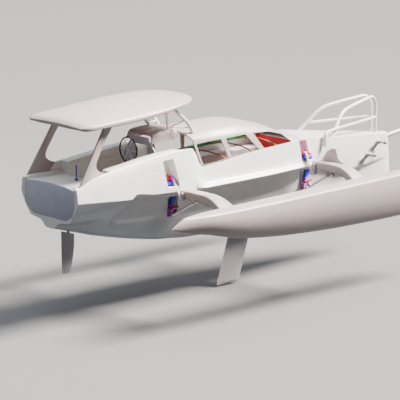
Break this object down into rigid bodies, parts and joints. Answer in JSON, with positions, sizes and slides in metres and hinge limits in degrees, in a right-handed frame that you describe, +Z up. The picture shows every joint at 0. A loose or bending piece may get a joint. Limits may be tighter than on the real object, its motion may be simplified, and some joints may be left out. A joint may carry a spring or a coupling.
{
  "type": "folding trimaran",
  "caption": "Cruising trimaran with a central hull, cabin and hardtop, and slim floats on curved beams that fold down against the hull on hinged struts.",
  "frame": {"origin": "on the centreline at the transom's aft face and the waterline", "axes": "+X forward to the bow, +Y to port, +Z up"},
  "size_m": [15.5434, 7.36, 6.17],
  "materials": {
    "gelcoat": "gloss",
    "deck": "satin",
    "blade": "satin",
    "panel": "matt",
    "black": "satin",
    "steel": "satin",
    "red": "satin",
    "dark_red": "satin",
    "blue": "satin",
    "magenta": "satin",
    "green": "satin",
    "brown": "satin"
  },
  "bodies": {
    "hull": {"hull": "gelcoat", "cabin_roof": "gelcoat", "foredeck": "deck", "companionway_hood": "deck", "cabin_bulkhead": "panel", "companionway_step": "deck", "hardtop": "gelcoat", "hardtop_leg_port": "gelcoat", "hardtop_leg_starboard": "gelcoat", "hardtop_stanchion_port": "gelcoat", "hardtop_stanchion_starboard": "gelcoat", "cockpit_sole": "deck", "cabin_sole": "deck", "berth_locker_port": "deck", "berth_locker_starboard": "deck", "sill_stringer_port": "green", "sill_stringer_starboard": "green", "forward_panel": "dark_red", "deck_beam_1": "brown", "deck_beam_2": "brown", "deck_beam_3": "brown", "deck_beam_4": "brown", "helm_pedestal": "deck", "aft_deck_post": "blue", "pulpit_port": "gelcoat", "pulpit_starboard": "gelcoat", "bowsprit": "gelcoat", "bow_step_lower": "steel", "bow_step_upper": "steel", "lower_bracket_aft_port": "magenta", "upper_bracket_aft_port": "red", "lower_bracket_forward_port": "magenta", "upper_bracket_forward_port": "red", "lower_bracket_aft_starboard": "magenta", "upper_bracket_aft_starboard": "red", "lower_bracket_forward_starboard": "magenta", "upper_bracket_forward_starboard": "red"},
    "lower_struts_port": {"lower_strut_aft_port": "steel", "lower_strut_forward_port": "steel"},
    "outrigger_port": {"float_port": "gelcoat", "beam_aft_port": "gelcoat", "beam_forward_port": "gelcoat"},
    "upper_struts_port": {"upper_strut_aft_port": "gelcoat", "upper_strut_forward_port": "gelcoat"},
    "lower_struts_starboard": {"lower_strut_aft_starboard": "steel", "lower_strut_forward_starboard": "steel"},
    "outrigger_starboard": {"float_starboard": "gelcoat", "beam_aft_starboard": "gelcoat", "beam_forward_starboard": "gelcoat"},
    "upper_struts_starboard": {"upper_strut_aft_starboard": "gelcoat", "upper_strut_forward_starboard": "gelcoat"},
    "rudder": {"rudder": "blade"},
    "helm_wheel": {"helm_wheel": "black"},
    "centreboard": {"centreboard": "blade"},
    "transom_gate": {"transom_gate": "panel"},
    "foredeck_hatch": {"foredeck_hatch": "deck"}
  },
  "joints": [
    {"name": "lower_strut_hinge_port", "type": "hinge", "parent": "hull", "child": "lower_struts_port", "pos_m": [6.61, 0.88, 0.42], "axis": [1, 0, 0], "range_deg": [0, 8]},
    {"name": "float_hinge_port", "type": "hinge", "parent": "lower_struts_port", "child": "outrigger_port", "pos_m": [6.61, 1.8, 0.93], "axis": [1, 0, 0], "range_deg": [-96, 0]},
    {"name": "upper_strut_hinge_port", "type": "hinge", "parent": "hull", "child": "upper_struts_port", "pos_m": [6.345, 1.05, 1.55], "axis": [1, 0, 0], "range_deg": [0, 58.1]},
    {"name": "lower_strut_hinge_starboard", "type": "hinge", "parent": "hull", "child": "lower_struts_starboard", "pos_m": [6.61, -0.88, 0.42], "axis": [-1, 0, 0], "range_deg": [0, 8]},
    {"name": "float_hinge_starboard", "type": "hinge", "parent": "lower_struts_starboard", "child": "outrigger_starboard", "pos_m": [6.61, -1.8, 0.93], "axis": [-1, 0, 0], "range_deg": [-96, 0]},
    {"name": "upper_strut_hinge_starboard", "type": "hinge", "parent": "hull", "child": "upper_struts_starboard", "pos_m": [6.345, -1.05, 1.55], "axis": [-1, 0, 0], "range_deg": [0, 58.1]},
    {"name": "rudder_hinge", "type": "hinge", "parent": "hull", "child": "rudder", "pos_m": [0.66, 0, 0.2], "axis": [0, 0, 1], "range_deg": [-35, 35]},
    {"name": "helm_wheel_hinge", "type": "hinge", "parent": "hull", "child": "helm_wheel", "pos_m": [2.91, 0, 2.31], "axis": [1, 0, 0], "range_deg": [-210, 210]},
    {"name": "centreboard_hinge", "type": "hinge", "parent": "hull", "child": "centreboard", "pos_m": [7.69, 0, -0.3], "axis": [0, 1, 0], "range_deg": [0, 66]},
    {"name": "transom_gate_hinge", "type": "hinge", "parent": "hull", "child": "transom_gate", "pos_m": [0.004, 0, 0.8], "axis": [0, -1, 0], "range_deg": [0, 88]},
    {"name": "foredeck_hatch_hinge", "type": "hinge", "parent": "hull", "child": "foredeck_hatch", "pos_m": [11.292, 0, 1.744], "axis": [0, 1, 0], "range_deg": [0, 80]}
  ],
  "couplings": [
    {"joint": "lower_strut_hinge_port", "follows": "float_hinge_port", "ratio": -0.08333},
    {"joint": "upper_strut_hinge_port", "follows": "float_hinge_port", "ratio": -0.60362},
    {"joint": "lower_strut_hinge_starboard", "follows": "float_hinge_starboard", "ratio": -0.08333},
    {"joint": "upper_strut_hinge_starboard", "follows": "float_hinge_starboard", "ratio": -0.60362},
    {"joint": "helm_wheel_hinge", "follows": "rudder_hinge", "ratio": 6}
  ]
}
